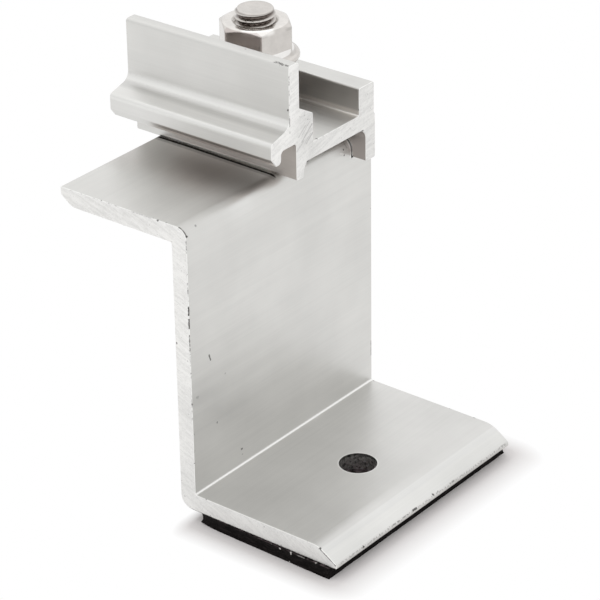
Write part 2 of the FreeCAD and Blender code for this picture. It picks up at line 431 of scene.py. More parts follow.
@dataclass(frozen=True)
class MillAluminium:
    """Mill finish of one extruded length, with its two sawn ends.

    Attributes:
        name: the material's name.
        axis: direction of extrusion.
        middle: middle of the length along that axis, in millimetres.
        half_length: half the sawn length, in millimetres.
        saw_slope: slope of the saw marks on the cut faces.
        cut_middle: where across the cut faces they are brightest.
        cut_reach: distances from there at which they start and end to fall off.
        cut_fall: brightness of the cut faces beyond that.
        tone: colour of the drawn faces.
        cut_tone: colour of the sawn faces.
        nick_and_shade_tone: colour of the dark marks: scratches, dirt and painted shadow lines.
        painted_highlight_tone: colour of the painted highlights, and of the painted bright band
            along the broken edges at the cut ends.
        nicks_and_painted_shade: dark marks, which are nicks and dirt, and also painted shadow
            lines.
        painted_highlights: bright marks, each a painted highlight.
        zones: parts that are duller or brighter, most of them painted shade and painted light.
        hole_radius: radius of the drilled hole, or 0; its rim gets a painted highlight, and its
            wall is mottled and painted darker near the top as painted shade.
        hole_top: height of the face that the hole is drilled into.
        cut_skin: depth from either end that counts as a cut face.
        drawn_stretch: how quickly the draw lines change along the length.
        saw_stretch: how quickly the saw marks change along their own run.
        saw_bow: how much the saw marks bow.
        roughness: least and greatest roughness of the drawn faces.
        cut_roughness: how much rougher the cut faces are.
        nick_roughness: how much rougher the dark marks are.
        relief_mm: depth of draw lines and saw marks, in millimetres.
    """

    name: str
    axis: Axis
    middle: float
    half_length: float
    saw_slope: float
    cut_middle: float
    cut_reach: tuple[float, float]
    cut_fall: float
    tone: Tone = (0.685, 0.68, 0.66)
    cut_tone: Tone = (0.90, 0.893, 0.875)
    nick_and_shade_tone: Tone = (0.014, 0.010, 0.009)
    painted_highlight_tone: Tone = (0.93, 0.93, 0.91)
    nicks_and_painted_shade: tuple[Mark, ...] = ()
    painted_highlights: tuple[Mark, ...] = ()
    zones: tuple[Zone, ...] = ()
    hole_radius: float = 0.0
    hole_top: float = 6.0
    cut_skin: float = 0.03
    drawn_stretch: float = 0.012
    saw_stretch: float = 0.16
    saw_bow: float = 0.0035
    roughness: tuple[float, float] = (0.33, 0.45)
    cut_roughness: float = 0.16
    nick_roughness: float = 0.3
    relief_mm: float = 0.012

    def made(self) -> bpy.types.Material:
        """Build the material.

        Returns:
            The finished material.
        """
        finish = Finish(self.name)
        x, y, z = finish.split(finish.place)
        along, across = (x, y) if self.axis is Axis.X else (y, x)
        away = finish.maths("ABSOLUTE", finish.minus(along, self.middle))
        depth = finish.minus(self.half_length, away)
        cut = finish.maths("LESS_THAN", depth, self.cut_skin)
        drawn_only = finish.minus(1.0, cut)

        slow = finish.times(along, self.drawn_stretch)
        drawn_place = finish.joined(across, slow, z)
        fine = finish.cloud(drawn_place, 3.4, 4.0, 0.62)
        bands = finish.cloud(drawn_place, 1.0, 2.0)
        broad = finish.cloud(drawn_place, 0.33, 2.0)
        haze = finish.cloud(finish.place, 0.09, 3.0)
        drawn = finish.scaled(bands, 0.3, finish.scaled(fine, 0.4, finish.times(broad, 0.3)))
        drawn_shade = finish.spread(finish.scaled(haze, 0.6, drawn), 0.55, 1.05)
        face = finish.blend(drawn_shade, *shades(self.tone, 0.92, 1.06))

        turned = finish.scaled(across, self.saw_slope, z)
        bowed = finish.scaled(finish.times(across, across), self.saw_bow, turned)
        saw_place = finish.joined(finish.times(across, self.saw_stretch), slow, bowed)
        sawn = finish.cloud(saw_place, 1.7, 3.0, 0.6)
        lumps = finish.cloud(finish.place, 1.6, 3.0, 0.6)
        grain = finish.cloud(finish.place, 4.0, 3.0, 0.7)
        torn = finish.scaled(lumps, 0.25, finish.scaled(sawn, 0.45, finish.times(grain, 0.3)))
        cut_face = finish.blend(finish.spread(torn, 0.40, 0.56), *shades(self.cut_tone, 0.86, 1.0))
        from_middle = finish.maths("ABSOLUTE", finish.minus(across, self.cut_middle))
        fall = finish.spread(from_middle, *self.cut_reach, 1.0, self.cut_fall, smooth=True)
        cut_face = finish.tinted(cut_face, fall)

        face = finish.zoned(face, (zone for zone in self.zones if not zone.sawn))
        cut_face = finish.zoned(cut_face, (zone for zone in self.zones if zone.sawn))
        tone = finish.blend(cut, face, cut_face)
        # Painted highlight: a bright band on the drawn faces next to each cut end, where the edge
        # is broken.
        broken = finish.times(finish.spread(depth, 0.10, 0.16, 1.0, 0.0), drawn_only)
        tone = finish.blend(broken, tone, self.painted_highlight_tone)
        near_cut = finish.times(finish.spread(depth, 0.1, 0.55, 1.0, 0.0), drawn_only)
        bruised = finish.spread(finish.cloud(finish.place, 1.1, 3.0, 0.6), 0.66, 0.70, 0.0, 0.7)
        pits = finish.times(finish.spread(lumps, 0.66, 0.72, 0.0, 0.35), cut)
        nicks_and_painted_shade = finish.most(finish.times(bruised, near_cut), pits)
        # The dark strokes hold nicks and dirt, and also painted shadow lines.
        nicks_and_painted_shade = finish.most(nicks_and_painted_shade, finish.strokes(self.nicks_and_painted_shade))
        # Painted highlights: the bright strokes, and a bright ring round the drilled hole's rim.
        painted_highlights = finish.strokes(self.painted_highlights)
        if self.hole_radius > 0.0:
            bore = finish.minus(finish.hypot(x, y), self.hole_radius)
            # Painted highlight round the top of the hole's rim.
            rim = finish.spread(bore, 0.1, 0.35, 0.6, 0.0)
            upper = finish.spread(z, self.hole_top - 0.10, self.hole_top - 0.02)
            painted_highlights = finish.most(painted_highlights, finish.times(rim, upper))
            # The bore's wall is mottled and painted darker towards its top: painted shade.
            wall = finish.spread(bore, 0.02, 0.06, 1.0, 0.0)
            shade = finish.spread(z, self.hole_top - 0.7, self.hole_top - 0.4, 1.0, 0.4)
            mottle = finish.times(finish.scaled(lumps, 4.0, -0.9), shade)
            tone = finish.blend(wall, tone, finish.tinted(tone, mottle))
        tone = finish.blend(painted_highlights, tone, self.painted_highlight_tone)
        finish.set("Base Color", finish.blend(nicks_and_painted_shade, tone, self.nick_and_shade_tone))
        finish.set("Metallic", 1.0)

        polish = finish.spread(drawn, 0.3, 0.7, *self.roughness)
        dull = finish.scaled(cut, self.cut_roughness, polish)
        finish.set("Roughness", finish.scaled(nicks_and_painted_shade, self.nick_roughness, dull))
        cut_height = finish.times(finish.times(torn, 3.0), cut)
        height = finish.scaled(finish.times(drawn, drawn_only), 0.5, cut_height)
        finish.relief(height, self.relief_mm)
        return finish.material


@dataclass(frozen=True)
class StainlessSteel:
    """Bright cold-formed steel of the bolt and the nut.

    Attributes:
        name: the material's name.
        thread_low: radius at which the painted shade in the thread's grooves is darkest.
        thread_high: radius from which no shade is painted.
        thread_top: height above which no shade is painted on the bolt's point.
        tone: colour of the clean steel.
        painted_groove_shade: what the colour is multiplied by in the grooves, as painted shade.
        roughness: least and greatest roughness.
        relief_mm: depth of the grain, in millimetres.
        zones: painted shade and painted highlights on the nut's faces.
        rings: the same, as boxes of radius and height, with Y unused.
    """

    name: str
    thread_low: float = 3.40
    thread_high: float = 3.90
    thread_top: float = 88.66
    tone: Tone = (0.615, 0.588, 0.56)
    painted_groove_shade: Tone = (0.24, 0.21, 0.20)
    roughness: tuple[float, float] = (0.15, 0.24)
    relief_mm: float = 0.006
    zones: tuple[Zone, ...] = ()
    rings: tuple[Zone, ...] = ()

    def made(self) -> bpy.types.Material:
        """Build the material.

        Returns:
            The finished material.
        """
        finish = Finish(self.name)
        x, y, z = finish.split(finish.place)
        stain = finish.cloud(finish.place, 0.5, 3.0, 0.55)
        grain = finish.cloud(finish.place, 7.0, 3.0, 0.6)
        tone = finish.blend(finish.spread(stain, 0.35, 0.65), *shades(self.tone, 0.95, 1.04))
        # Painted shade and painted highlights on the nut, by box and then by ring round the axis.
        tone = finish.zoned(tone, self.zones)
        radius = finish.hypot(finish.minus(x, BOLT_AXIS[0]), finish.minus(y, BOLT_AXIS[1]))
        tone = finish.zoned(tone, self.rings, finish.joined(radius, 0.0, z))
        # Painted shade darkens the thread's grooves, up to the bolt's point.
        below_end = finish.spread(z, self.thread_top - 0.1, self.thread_top, 1.0, 0.0)
        groove = finish.spread(radius, self.thread_low, self.thread_high, 1.0, 0.0)
        groove = finish.times(groove, below_end)
        finish.set("Base Color", finish.blend(groove, tone, finish.tinted(tone, self.painted_groove_shade)))
        finish.set("Metallic", 1.0)
        finish.set("Roughness", finish.spread(stain, 0.3, 0.7, *self.roughness))
        finish.relief(finish.scaled(grain, 0.3, stain), self.relief_mm)
        return finish.material


@dataclass(frozen=True)
class BlackRubber:
    """Cut sheet of black rubber, dusty on top and dragged where the knife went.

    Attributes:
        name: the material's name.
        half_length: half the pad's length, in millimetres.
        top: height of its upper side.
        tone: colour of its cut sides.
        dust: colour where it is scuffed.
        chalk: colour of the dust on its upper side.
        speck_tone: colour of the chips caught on it.
        sheen: strength of its reflections.
        roughness: least and greatest roughness.
        relief_mm: depth of the drag marks, in millimetres.
        chips: the chips and the smears beside them.
    """

    name: str
    half_length: float = 28.55
    top: float = 2.4
    tone: Tone = (0.0022, 0.0014, 0.0013)
    dust: Tone = (0.032, 0.026, 0.026)
    chalk: Tone = (0.082, 0.062, 0.066)
    speck_tone: Tone = (0.62, 0.60, 0.58)
    sheen: float = 0.06
    roughness: tuple[float, float] = (0.42, 0.66)
    relief_mm: float = 0.08
    chips: tuple[Mark, ...] = ()

    def made(self) -> bpy.types.Material:
        """Build the material.

        Returns:
            The finished material.
        """
        finish = Finish(self.name)
        x, y, z = finish.split(finish.place)
        from_end = finish.minus(self.half_length, finish.maths("ABSOLUTE", y))
        at_ends = finish.spread(from_end, 0.6, 0.9, 1.0, 0.0)
        drag = finish.joined(finish.times(x, finish.scaled(at_ends, -0.85, 1.0)),
                             finish.times(y, finish.scaled(at_ends, 0.85, 0.15)),
                             finish.times(z, 1.6))
        streaks = finish.cloud(drag, 2.2, 4.0, 0.65)
        grain = finish.cloud(finish.place, 2.6, 5.0, 0.7)
        worn = finish.scaled(streaks, 0.6, finish.times(grain, 0.4))
        tone = finish.blend(finish.spread(worn, 0.47, 0.72), self.tone, self.dust)
        upper = finish.spread(z, self.top - 0.12, self.top - 0.02, 0.0, 0.9)
        patches = finish.spread(finish.cloud(finish.place, 0.9, 3.0, 0.6), 0.42, 0.62)
        tone = finish.blend(finish.times(upper, patches), tone, self.chalk)
        tone = finish.blend(finish.strokes(self.chips), tone, self.speck_tone)
        finish.set("Base Color", tone)
        finish.set("Specular IOR Level", self.sheen)
        finish.set("Roughness", finish.spread(worn, 0.3, 0.7, *self.roughness))
        finish.relief(worn, self.relief_mm)
        return finish.material


def linked(name: str, data: bpy.types.ID) -> bpy.types.Object:
    """Put a new object into the scene.

    Args:
        name: the object's name.
        data: its mesh, lamp or camera.

    Returns:
        The object.
    """
    made = bpy.data.objects.new(name, data)
    bpy.context.scene.collection.objects.link(made)
    return made


@dataclass(frozen=True)
class ThreadForm:
    """A helical thread surface, made by Geometry Nodes from a flat grid.

    Attributes:
        name: name of the tree and the piece of mesh.
        side: whether the metal is inside or outside the surface.
        crest: radius of the outer flats, in millimetres.
        root: radius of the inner flats.
        bottom: lower end's height.
        top: upper end's height.
        bottom_radius: radius at the lower end, from where a 45 degree cone widens.
        top_radius: the same at the upper end.
        columns: divisions round the axis.
        start_degrees: angle of the first column.
        pitch: rise in one turn.
        rows_per_pitch: divisions along one turn's rise.
        lead: height of a crest at angle 0.
        run_out: length over which the groove rises to the upper end's radius.
    """

    name: str
    side: Side
    crest: float
    root: float
    bottom: float
    top: float
    bottom_radius: float
    top_radius: float
    columns: int
    start_degrees: float = 0.0
    pitch: float = 1.25
    rows_per_pitch: int = 18
    lead: float = 1.185
    run_out: float = 1e-3

    @property
    def sizes(self) -> dict[str, float]:
        """The tree's named inputs.

        Returns:
            Each input's name with its value, which is a whole number for a count.
        """
        turns = (self.top - self.bottom) / self.pitch
        return {
            "Pitch": self.pitch, "Crest": self.crest, "Root": self.root,
            "Bottom": self.bottom, "Bottom Radius": self.bottom_radius,
            "Top": self.top, "Top Radius": self.top_radius, "Lead": self.lead,
            "Run Out": self.run_out, "Side": self.side.value,
            "Start": math.radians(self.start_degrees),
            "Columns": self.columns, "Rows": max(4, round(turns * self.rows_per_pitch)),
        }

    def tree(self, material: bpy.types.Material) -> bpy.types.GeometryNodeTree:
        """Build the node tree that bends a grid into the thread.

        Args:
            material: finish for the thread's faces.

        Returns:
            The tree, with one named input for each size.
        """
        tree = bpy.data.node_groups.new(self.name, "GeometryNodeTree")
        graph = NodeGraph(tree)
        tree.interface.new_socket("Geometry", in_out="INPUT", socket_type="NodeSocketGeometry")
        for label, value in self.sizes.items():
            kind = "NodeSocketInt" if isinstance(value, int) else "NodeSocketFloat"
            tree.interface.new_socket(label, in_out="INPUT", socket_type=kind)
        tree.interface.new_socket("Geometry", in_out="OUTPUT", socket_type="NodeSocketGeometry")
        given = graph.add("NodeGroupInput").outputs
        result = graph.add("NodeGroupOutput")
        bottom, top, side = given["Bottom"], given["Top"], given["Side"]

        grid = graph.add("GeometryNodeMeshGrid")
        for label, value in (
            ("Size X", 1.0), ("Size Y", 1.0),
            ("Vertices X", graph.maths("ADD", given["Columns"], 1.0)),
            ("Vertices Y", graph.maths("ADD", given["Rows"], 1.0)),
        ):
            graph.feed(grid.inputs[label], value)
        flat_x, flat_y, _ = graph.split(graph.add("GeometryNodeInputPosition").outputs[0])
        turn = graph.maths("ADD", flat_x, 0.5)
        rise = graph.maths("ADD", flat_y, 0.5)
        height = graph.scaled(graph.minus(top, bottom), rise, bottom)
        angle = graph.scaled(turn, FULL_TURN, given["Start"])

        turns = graph.maths("DIVIDE", angle, FULL_TURN)
        above = graph.maths("DIVIDE", graph.minus(height, given["Lead"]), given["Pitch"])
        phase = graph.maths("FRACT", graph.minus(above, turns))
        fold = graph.maths("ABSOLUTE", graph.scaled(phase, 2.0, -1.0))
        tooth = graph.minus(given["Crest"], given["Root"])
        threaded = graph.scaled(graph.spread(fold, 0.25, 0.875), tooth, given["Root"])
        fading = graph.spread(height, graph.minus(top, given["Run Out"]), top)
        missing = graph.most(graph.minus(given["Top Radius"], threaded), 0.0)
        threaded = graph.scaled(missing, fading, threaded)
        low_cone = graph.scaled(graph.minus(height, bottom), side, given["Bottom Radius"])
        high_cone = graph.scaled(graph.minus(top, height), side, given["Top Radius"])
        signed = [graph.times(side, radius) for radius in (threaded, low_cone, high_cone)]
        least = graph.maths("MINIMUM", graph.maths("MINIMUM", signed[0], signed[1]), signed[2])
        radius = graph.times(side, least)
        place = graph.joined(graph.times(radius, graph.maths("COSINE", angle)),
                             graph.times(radius, graph.maths("SINE", angle)), height)
        bent = graph.add("GeometryNodeSetPosition")
        graph.feed(bent.inputs["Geometry"], grid.outputs["Mesh"])
        graph.feed(bent.inputs["Position"], place)
        closed = graph.add("GeometryNodeMergeByDistance")
        graph.feed(closed.inputs["Geometry"], bent.outputs[0])
        closed.inputs["Distance"].default_value = SEAM_MM
        real = graph.add("GeometryNodeRealizeInstances")
        graph.feed(real.inputs[0], closed.outputs[0])
        dressed = graph.add("GeometryNodeSetMaterial")
        graph.feed(dressed.inputs["Geometry"], real.outputs[0])
        dressed.inputs["Material"].default_value = material
        graph.feed(result.inputs[0], dressed.outputs[0])
        return tree

    def body(self, material: bpy.types.Material) -> bmesh.types.BMesh:
        """Run the tree once and keep its result, in millimetres about the axis.

        Args:
            material: finish for the thread's faces.

        Returns:
            A mesh to go on with, open at both ends.
        """
        carrier = linked(self.name, bpy.data.meshes.new(self.name))
        modifier = carrier.modifiers.new("thread", "NODES")
        modifier.node_group = self.tree(material)
        for item in modifier.node_group.interface.items_tree:
            if item.name in self.sizes:
                modifier[item.identifier] = self.sizes[item.name]
        evaluated = carrier.evaluated_get(bpy.context.evaluated_depsgraph_get())
        plain = bpy.data.meshes.new_from_object(evaluated)
        carrier.modifiers.remove(modifier)
        bpy.data.objects.remove(carrier)
        body = bmesh.new()
        body.from_mesh(plain)
        bpy.data.meshes.remove(plain)
        return body


@dataclass
class TurnedShell:
    """Rings of vertices about one upright axis, joined into a skin.

    Attributes:
        columns: vertices in each ring.
        start_degrees: angle of the first column.
        rings: the rings so far, in millimetres about the axis.
    """

    columns: int
    start_degrees: float = 0.0
    rings: list[list[Vector]] = field(default_factory=list)

    def angles(self) -> list[float]:
        """Return the columns' angles."""
        start = math.radians(self.start_degrees)
        return [start + FULL_TURN * index / self.columns for index in range(self.columns)]

    def shaped(self, radii: list[float], heights: list[float],
               steps: Steps = ((0.0, 0.0),)) -> None:
        """Add a ring for each step out and up from one outline.

        Args:
            radii: the outline's radius at each column.
            heights: its height at each column.
            steps: how far out and up from the outline each ring lies.
        """
        for out, up in steps:
            ring = []
            for angle, radius, height in zip(self.angles(), radii, heights):
                far = radius + out
                ring.append(Vector((far * math.cos(angle), far * math.sin(angle), height + up)))
            self.rings.append(ring)

    def turned(self, radius: float, height: float, steps: Steps = ((0.0, 0.0),)) -> None:
        """Add a round ring for each step out and up from one place."""
        self.shaped([radius] * self.columns, [height] * self.columns, steps)

    def into(self, target: bmesh.types.BMesh, capped: bool = False) -> None:
        """Add the skin to a mesh.

        Args:
            target: the mesh under work.
            capped: whether a fan closes the last ring.
        """
        placed = [[target.verts.new(point) for point in ring] for ring in self.rings]
        for lower, upper in zip(placed, placed[1:]):
            for index in range(self.columns):
                after = (index + 1) % self.columns
                target.faces.new((lower[index], lower[after], upper[after], upper[index]))
        if capped:
            last = placed[-1]
            centre = target.verts.new(sum((vert.co for vert in last), Vector()) / len(last))
            for vert, after in zip(last, last[1:] + last[:1]):
                target.faces.new((vert, after, centre))


@dataclass(frozen=True)
class HexagonForm:
    """Plan of a hexagon with slightly rounded corners.

    Attributes:
        flats: width across flats, in millimetres.
        turn_degrees: angle of its first corner.
        corner_radius: rounding of its corners.
    """

    flats: float
    turn_degrees: float
    corner_radius: float = 0.4

    def radius(self, angle: float) -> float:
        """Look up the outline.

        Args:
            angle: direction from the axis, in radians.

        Returns:
            The distance from the axis to the outline, in millimetres.
        """
        apothem = self.flats / 2
        centre = (apothem - self.corner_radius) / math.cos(math.pi / 6)
        step = math.pi / 3
        away = (angle - math.radians(self.turn_degrees) + step / 2) % step - step / 2
        corner = self.corner_radius
        if abs(away) < math.atan(corner / 2 / (centre + corner * math.cos(math.pi / 6))):
            return centre * math.cos(away) + math.sqrt(corner**2 - (centre * math.sin(away)) ** 2)
        return apothem / math.cos(step / 2 - abs(away))


def finished_object(name: str, mesh: bmesh.types.BMesh, axis_place: Vector,
                    material: bpy.types.Material, crease_degrees: float) -> bpy.types.Object:
    """Turn a mesh in millimetres about an axis into a piece in the frame.

    Args:
        name: the piece's name.
        mesh: the mesh, which is freed.
        axis_place: where its own origin lies in the frame, in metres.
        material: its finish.
        crease_degrees: edges sharper than this stay sharp.

    Returns:
        The piece, at the origin, with its place in its mesh.
    """
    bmesh.ops.remove_doubles(mesh, verts=mesh.verts, dist=WELD_MM)
    bmesh.ops.recalc_face_normals(mesh, faces=mesh.faces)
    for face in mesh.faces:
        face.smooth = True
        face.material_index = 0
    data = bpy.data.meshes.new(name)
    mesh.to_mesh(data)
    mesh.free()
    data.transform(Matrix.Translation(axis_place) @ Matrix.Scale(MM, 4))
    data.materials.clear()
    data.materials.append(material)
    data.set_sharp_from_angle(angle=math.radians(crease_degrees))
    return linked(name, data)


def report(piece: bpy.types.Object) -> None:
    """Log one piece with its size in triangles.

    Args:
        piece: the piece.
    """
    piece.data.calc_loop_triangles()
    LOG.info("%s: %d triangles", piece.name, len(piece.data.loop_triangles))


@dataclass(frozen=True)
class ClampFastener:
    """The M8 bolt and its flange nut, on one upright axis, in millimetres.

    Steps are pairs: how far out and how far up a ring lies from an edge.

    Attributes:
        seat_z: underside of the top flange, where the head bears.
        end_z: the bolt's free end.
        end_radius: radius of its flat end, where the thread runs out.
        end_steps: its broken edge and its slightly dished face.
        neck_radius: radius under the head.
        neck_steps: fillet from the thread down to the head.
        washer_steps: edge of the washer face.
        shoulder_steps: edge of the head beside the washer face.
        head_rim_steps: edge where its chamfer meets its sides.
        head_face_steps: its flat face with the dish in its middle.
        nut_top_z: top face of the nut.
        nut_base_z: bearing face of the nut.
        nut_bore_play: how much wider the nut's thread is than the bolt's.
        nut_face_steps: its flat top up to the chamfer.
        nut_rim_steps: edge where its chamfer meets its sides.
        nut_foot_steps: fillet between its sides and its flange.
        countersink_steps: flat beside the mouth of its bore.
    """

    seat_z: float = 58.8
    end_z: float = 88.8
    crest_radius: float = 3.93
    root_radius: float = 3.30
    end_radius: float = 3.43
    run_out: float = 1.3
    end_steps: Steps = ((0.0, -0.03), (-0.07, -0.005), (-0.20, 0.0), (-0.9, -0.02), (-2.23, -0.05))
    neck_radius: float = 3.35
    neck_steps: Steps = ((0.0, 1.2), (0.05, 0.35), (0.22, 0.08), (0.45, 0.0))
    head_flats: float = 13.0
    head_height: float = 5.3
    head_turn: float = 30.0
    washer_radius: float = 5.8
    washer_steps: Steps = ((-0.12, 0.0), (0.0, -0.10), (0.0, -0.40))
    shoulder_steps: Steps = ((-0.22, -0.40), (-0.05, -0.48), (0.0, -0.65))
    head_rim_steps: Steps = ((0.0, 0.22), (-0.03, 0.02))
    head_face_steps: Steps = ((0.0, 0.0), (-0.4, 0.0), (-1.55, 0.0), (-1.85, 0.25), (-4.65, 0.25))
    chamfer_land: float = 0.35
    chamfer_inset: float = 0.2
    bolt_columns: int = 120
    nut_top_z: float = 86.4
    nut_base_z: float = 78.7
    nut_bore_play: float = 0.06
    nut_flats: float = 12.94
    nut_turn: float = 18.2
    nut_face_steps: Steps = ((-0.3, 0.0), (0.0, -0.03))
    nut_rim_inset: float = 0.22
    nut_rim_steps: Steps = ((-0.04, 0.005), (0.0, -0.10), (0.0, -0.40))
    nut_foot_steps: Steps = ((0.0, 0.45), (0.03, 0.18), (0.15, 0.03))
    nut_foot_reach: float = 0.35
    nut_flange_radius: float = 8.5
    nut_rim: float = 1.2
    nut_cone_height: float = 2.5
    countersink_radius: float = 4.5
    countersink_steps: Steps = ((0.0, 0.0), (0.15, 0.0))
    nut_columns: int = 240

    @property
    def axis_place(self) -> Vector:
        """Where the axis meets height 0, in metres."""
        return Vector((*BOLT_AXIS, 0.0)) * MM

    def bolt(self, material: bpy.types.Material) -> bpy.types.Object:
        """Build the hexagon bolt with its rolled thread.

        Args:
            material: its finish.

        Returns:
            The piece that stands for the bolt.
        """
        body = ThreadForm(
            name="rolled_thread", side=Side.BOLT, crest=self.crest_radius, root=self.root_radius,
            bottom=self.seat_z + self.neck_steps[0][1], top=self.end_z + self.end_steps[0][1],
            bottom_radius=self.neck_radius, top_radius=self.end_radius,
            columns=self.bolt_columns, run_out=self.run_out,
        ).body(material)
        end = TurnedShell(self.bolt_columns)
        end.turned(self.end_radius, self.end_z, self.end_steps)
        end.into(body, capped=True)

        head = TurnedShell(self.bolt_columns)
        form = HexagonForm(self.head_flats, self.head_turn)
        outline = [form.radius(angle) for angle in head.angles()]
        land = self.head_flats / 2 - self.chamfer_land
        base = self.seat_z - self.head_height
        head.turned(self.neck_radius, self.seat_z, self.neck_steps)
        head.turned(self.washer_radius, self.seat_z, self.washer_steps)
        head.shaped(outline, [self.seat_z] * head.columns, self.shoulder_steps)
        cut = [base + max(0.0, radius - land) * CHAMFER_SLOPE for radius in outline]
        head.shaped(outline, cut, self.head_rim_steps)
        inner = [max(land, radius - self.chamfer_inset) for radius in outline]
        head.shaped(inner, [base + (radius - land) * CHAMFER_SLOPE for radius in inner])
        head.turned(land, base, self.head_face_steps)
        head.into(body, capped=True)
        return finished_object("threaded_clamp_bolt", body, self.axis_place, material,
                               crease_degrees=38.0)

    def nut(self, material: bpy.types.Material) -> bpy.types.Object:
        """Build the flange nut: chamfered hexagon, flange and tapped bore.

        Args:
            material: its finish.

        Returns:
            The piece that stands for the nut.
        """
        body = ThreadForm(
            name="tapped_thread", side=Side.NUT, crest=self.crest_radius + self.nut_bore_play,
            root=self.end_radius + self.nut_bore_play / 2,
            bottom=self.nut_base_z, top=self.nut_top_z,
            bottom_radius=self.countersink_radius, top_radius=self.countersink_radius,
            columns=self.nut_columns, start_degrees=self.nut_turn, rows_per_pitch=14,
        ).body(material)
        skin = TurnedShell(self.nut_columns, self.nut_turn)
        form = HexagonForm(self.nut_flats, self.nut_turn)
        outline = [form.radius(angle) for angle in skin.angles()]
        land = self.nut_flats / 2 - self.chamfer_land
        top, base = self.nut_top_z, self.nut_base_z
        skin.turned(self.countersink_radius, top, self.countersink_steps)
        skin.turned(land, top, self.nut_face_steps)
        inner = [max(land + 0.02, radius - self.nut_rim_inset) for radius in outline]
        skin.shaped(inner, [top - (radius - land) * CHAMFER_SLOPE for radius in inner])
        cut = [top - max(0.0, radius - land) * CHAMFER_SLOPE for radius in outline]
        skin.shaped(outline, cut, self.nut_rim_steps)

        rim = self.nut_rim / 2
        rim_centre = self.nut_flange_radius - rim
        cone_slope = (self.nut_cone_height - self.nut_rim) / (rim_centre - self.nut_flats / 2)
        foot = [base + self.nut_rim + (rim_centre - radius) * cone_slope for radius in outline]
        on_cone = (self.nut_foot_reach, -self.nut_foot_reach * cone_slope)
        skin.shaped(outline, foot, (*self.nut_foot_steps, on_cone))
        for degrees in (90, 68, 45, 22, 0, -22, -45, -68, -90):
            tilt = math.radians(degrees)
            skin.turned(rim_centre + rim * math.cos(tilt), base + rim + rim * math.sin(tilt))
        skin.turned(self.countersink_radius, base, self.countersink_steps[::-1])
        skin.into(body)
        return finished_object("tapped_flange_nut", body, self.axis_place, material,
                               crease_degrees=50.0)

    def build(self, material: bpy.types.Material) -> None:
        """Make both pieces and set them in place of their solids.

        Args:
            material: their finish.
        """
        bolt = self.bolt(material)
        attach(bolt, "bracket")
        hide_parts("clamp_bolt")
        report(bolt)
        nut = self.nut(material)
        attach(nut, "nut")
        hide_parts("flange_nut")
        report(nut)


@dataclass(frozen=True)
class RubberPad:
    """Cut pad under the bottom flange, with hollow sides and worn edges.

    Attributes:
        left: its side under the web, in millimetres.
        right: its side under the flange's tip.
        half_length: half its length along the bracket.
        thickness: its height.
        hollow: how far the side under the web draws in at half height.
        tip_hollow: how far the side under the tip does.
        slant: how much further back the front cut lies for each millimetre from the tip.
        corner_drag: how far the corner under the web was dragged back.
        drag_reach: how quickly that dies out along the cut.
        cut_rough: unevenness of the cuts.
        cut_hollow: how far the cuts draw in at half height.
        side_rough: unevenness of the two sides.
    """

    left: float = -17.0
    right: float = 14.85
    half_length: float = 28.55
    thickness: float = 2.4
    hollow: float = 0.62
    tip_hollow: float = 0.35
    slant: float = 0.014
    corner_drag: float = 0.6
    drag_reach: float = 2.1
    cut_rough: float = 0.10
    cut_hollow: float = 0.14
    side_rough: float = 0.08
    steps_across: int = 64
    steps_along: int = 112
    steps_up: int = 8

    def place(self, across: float, along: float, up: float) -> Vector:
        """Return a lattice place on the pad's skin.

        Args:
            across: 0 at the web side to 1 at the tip side.
            along: 0 at the front cut to 1 at the back cut.
            up: 0 at the underside to 1 on top.

        Returns:
            The place in millimetres, drawn in where the knife dragged.
        """
        belly = 1.0 - (2.0 * up - 1.0) ** 2
        low, high = self.left + self.hollow * belly, self.right - self.tip_hollow * belly
        spot = Vector((low + (high - low) * across, 0.0, self.thickness * up))
        dragged = self.corner_drag * math.exp((self.left - spot.x) / self.drag_reach)
        front = self.slant * (self.right - spot.x) + dragged - self.half_length
        spot.y = front + (self.half_length - front) * along
        rough = 0.5 + 0.5 * noise.noise(Vector((spot.x * 0.5, spot.y * 0.5, spot.z * 1.6)))
        if along in (0.0, 1.0):
            inward = self.cut_rough * rough + self.cut_hollow * belly
            spot.y += inward if along == 0.0 else -inward
        if across in (0.0, 1.0):
            spot.x += self.side_rough * rough * (1.0 if across == 0.0 else -1.0)
        return spot

    def build(self, material: bpy.types.Material) -> None:
        """Make the pad and set it in place of its solid.

        Args:
            material: its finish.
        """
        counts = (self.steps_across, self.steps_along, self.steps_up)
        mesh = bmesh.new()
        known: dict[tuple[int, int, int], bmesh.types.BMVert] = {}

        def vert(key: tuple[int, int, int]) -> bmesh.types.BMVert:
            """Look up a lattice vertex, which is made once.

            Args:
                key: its steps across, along and up.

            Returns:
                The vertex.
            """
            if key not in known:
                known[key] = mesh.verts.new(self.place(*(k / n for k, n in zip(key, counts))))
            return known[key]

        for axis in range(3):
            first, second = (axis + 1) % 3, (axis + 2) % 3
            spans = ((0, counts[axis]), range(counts[first]), range(counts[second]))
            for level, i, j in product(*spans):
                corners = []
                for di, dj in ((0, 0), (1, 0), (1, 1), (0, 1)):
                    key = [0, 0, 0]
                    key[axis], key[first], key[second] = level, i + di, j + dj
                    corners.append(vert(tuple(key)))
                mesh.faces.new(corners)
        pad = finished_object("cut_rubber_pad", mesh, Vector(), material, crease_degrees=40.0)
        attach(pad, "bracket")
        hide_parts("rubber_pad")
        report(pad)


